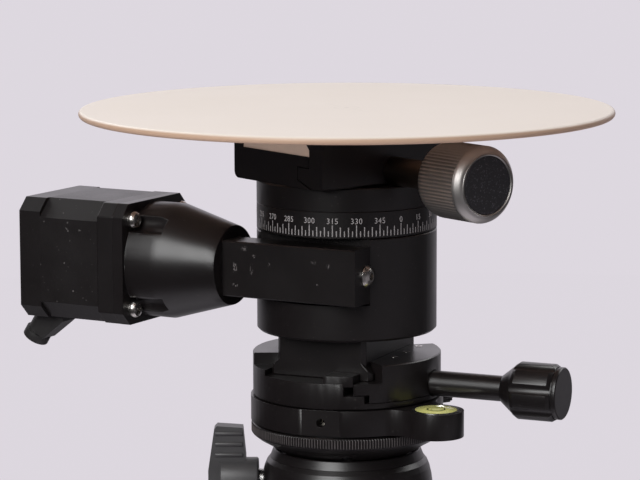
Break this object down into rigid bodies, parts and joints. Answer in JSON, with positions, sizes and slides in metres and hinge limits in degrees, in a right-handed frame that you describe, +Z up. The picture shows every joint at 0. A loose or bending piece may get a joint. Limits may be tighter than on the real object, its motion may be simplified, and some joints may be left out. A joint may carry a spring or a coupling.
{
  "type": "tripod turntable",
  "caption": "Motor-driven turntable with a round table held in a dovetail clamp, on a panning clamp and the head of a tripod centre column.",
  "frame": {"origin": "centre of the lower face of the spigot that drops into the tripod", "axes": "+Z up along the turning axis of the table, +X along the worm arm away from the motor, +Y from the arm to the back"},
  "size_m": [0.2047, 0.1844, 0.2316],
  "materials": {
    "cream_disc": "satin, cream white",
    "bare_aluminium": "machined, clear anodised",
    "black_anodised": "satin black anodised",
    "black_painted": "satin black",
    "silver_knob": "knurled, bead blasted silver",
    "speckled_inlay": "dark grey, fine speckle",
    "black_screw": "black oxide",
    "bright_screw": "bright zinc",
    "steel": "ground",
    "bronze_wheel": "machined",
    "copper_wire": "enamelled copper wire",
    "black_plastic": "fine texture, black",
    "rubber_pad": "matt",
    "level_rim": "bright rim",
    "level_liquid": "clear cover over yellow-green liquid"
  },
  "bodies": {
    "collar": {"column_collar": "black_anodised", "collar_cap": "black_anodised", "column_bush": "black_plastic"},
    "lock_shoe_slide": {"lock_shoe": "black_plastic"},
    "wing": {"wing_knob": "black_plastic", "wing_shaft": "steel"},
    "centre_column": {"column_tube": "bare_aluminium", "column_foot": "black_plastic", "head_plate": "black_anodised", "head_stud": "steel", "rubber_pad": "rubber_pad", "grub_screws": "black_screw", "pan_base": "black_anodised", "level_rim": "level_rim", "level_vial": "level_liquid"},
    "pan_lock_pad_slide": {"pan_lock_pad": "black_plastic"},
    "pan_lock": {"pan_lock_knob": "black_anodised"},
    "panning_head": {"lower_clamp_base": "black_anodised", "lower_guide_pins": "steel", "seat_plate": "black_anodised", "underside_screws": "black_screw", "rotator_body": "black_anodised", "rotator_cover": "black_anodised", "table_bearing_outer": "steel", "worm_arm": "black_anodised", "arm_screws": "bright_screw", "arm_end_screw": "bright_screw", "motor_cone": "black_anodised", "drive_bearing_outer": "steel", "motor_front_cap": "black_painted", "motor_stator": "black_painted", "motor_coils": "copper_wire", "motor_rear_cap": "black_painted", "motor_long_screws": "bright_screw", "flange_screws": "bright_screw", "connector_inlet": "black_plastic"},
    "lower_jaw": {"lower_clamp_jaw": "black_anodised", "jaw_set_screws": "bright_screw"},
    "lower_clamp_knob": {"lower_clamp_screw": "black_screw", "lower_knob": "black_anodised"},
    "turntable": {"platform": "black_anodised", "degree_ring": "black_anodised", "worm_wheel": "bronze_wheel", "spindle_nut": "steel", "table_bearing_inner": "steel", "table_bearing_balls": "steel", "upper_clamp_base": "black_anodised", "upper_guide_pins": "steel", "upper_springs": "steel", "upper_clamp_bolts": "black_screw", "dovetail_rail": "bare_aluminium", "table_disc": "cream_disc"},
    "upper_jaw": {"upper_clamp_jaw": "black_anodised"},
    "upper_clamp_knob": {"upper_clamp_screw": "black_screw", "upper_knob": "silver_knob", "upper_knob_inlay": "speckled_inlay"},
    "worm": {"worm_shaft": "steel", "drive_bearing_inner": "steel", "shaft_coupling": "steel", "motor_rotor": "steel"}
  },
  "joints": [
    {"name": "shoe_slide", "type": "slide", "parent": "collar", "child": "lock_shoe_slide", "axis": [-0.8763, -0.4818, 0], "range_m": [0, 0.000625]},
    {"name": "wing_turn", "type": "hinge", "parent": "lock_shoe_slide", "child": "wing", "pos_m": [0, 0, 0.0275], "axis": [-0.8763, -0.4818, 0], "range_deg": [0, 180.01]},
    {"name": "column_lift", "type": "slide", "parent": "collar", "child": "centre_column", "axis": [0, 0, 1], "range_m": [0, 0.07]},
    {"name": "pan_pad_slide", "type": "slide", "parent": "centre_column", "child": "pan_lock_pad_slide", "axis": [0.4695, 0.8829, 0], "range_m": [0, 0.0007]},
    {"name": "pan_lock_turn", "type": "hinge", "parent": "pan_lock_pad_slide", "child": "pan_lock", "pos_m": [0, 0, 0.0543], "axis": [0.4695, 0.8829, 0], "range_deg": [0, 360.01]},
    {"name": "pan_turn", "type": "hinge", "parent": "centre_column", "child": "panning_head", "pos_m": [0, 0, 0.055], "axis": [0, 0, 1], "continuous": true},
    {"name": "lower_jaw_slide", "type": "slide", "parent": "panning_head", "child": "lower_jaw", "axis": [0.9961, 0.0882, 0], "range_m": [0, 0.006]},
    {"name": "lower_knob_turn", "type": "hinge", "parent": "lower_jaw", "child": "lower_clamp_knob", "pos_m": [0, 0, 0.0646], "axis": [0.9961, 0.0882, 0], "range_deg": [0, 2160.01]},
    {"name": "table_turn", "type": "hinge", "parent": "panning_head", "child": "turntable", "pos_m": [0, 0, 0.12], "axis": [0, 0, 1], "continuous": true},
    {"name": "worm_turn", "type": "hinge", "parent": "panning_head", "child": "worm", "pos_m": [0, -0.0255, 0.105], "axis": [1, 0, 0], "continuous": true},
    {"name": "upper_jaw_slide", "type": "slide", "parent": "turntable", "child": "upper_jaw", "axis": [0.9125, -0.409, 0], "range_m": [0, 0.006], "deforming": ["upper_springs"]},
    {"name": "upper_knob_turn", "type": "hinge", "parent": "upper_jaw", "child": "upper_clamp_knob", "pos_m": [0, 0, 0.1393], "axis": [0.9125, -0.409, 0], "range_deg": [0, 2160.01]}
  ],
  "couplings": [
    {"joint": "wing_turn", "follows": "shoe_slide", "rad_per_m": 5026.5},
    {"joint": "pan_lock_turn", "follows": "pan_pad_slide", "rad_per_m": 8976},
    {"joint": "lower_knob_turn", "follows": "lower_jaw_slide", "rad_per_m": 6283.2},
    {"joint": "upper_knob_turn", "follows": "upper_jaw_slide", "rad_per_m": 6283.2},
    {"joint": "worm_turn", "follows": "table_turn", "ratio": -50}
  ]
}
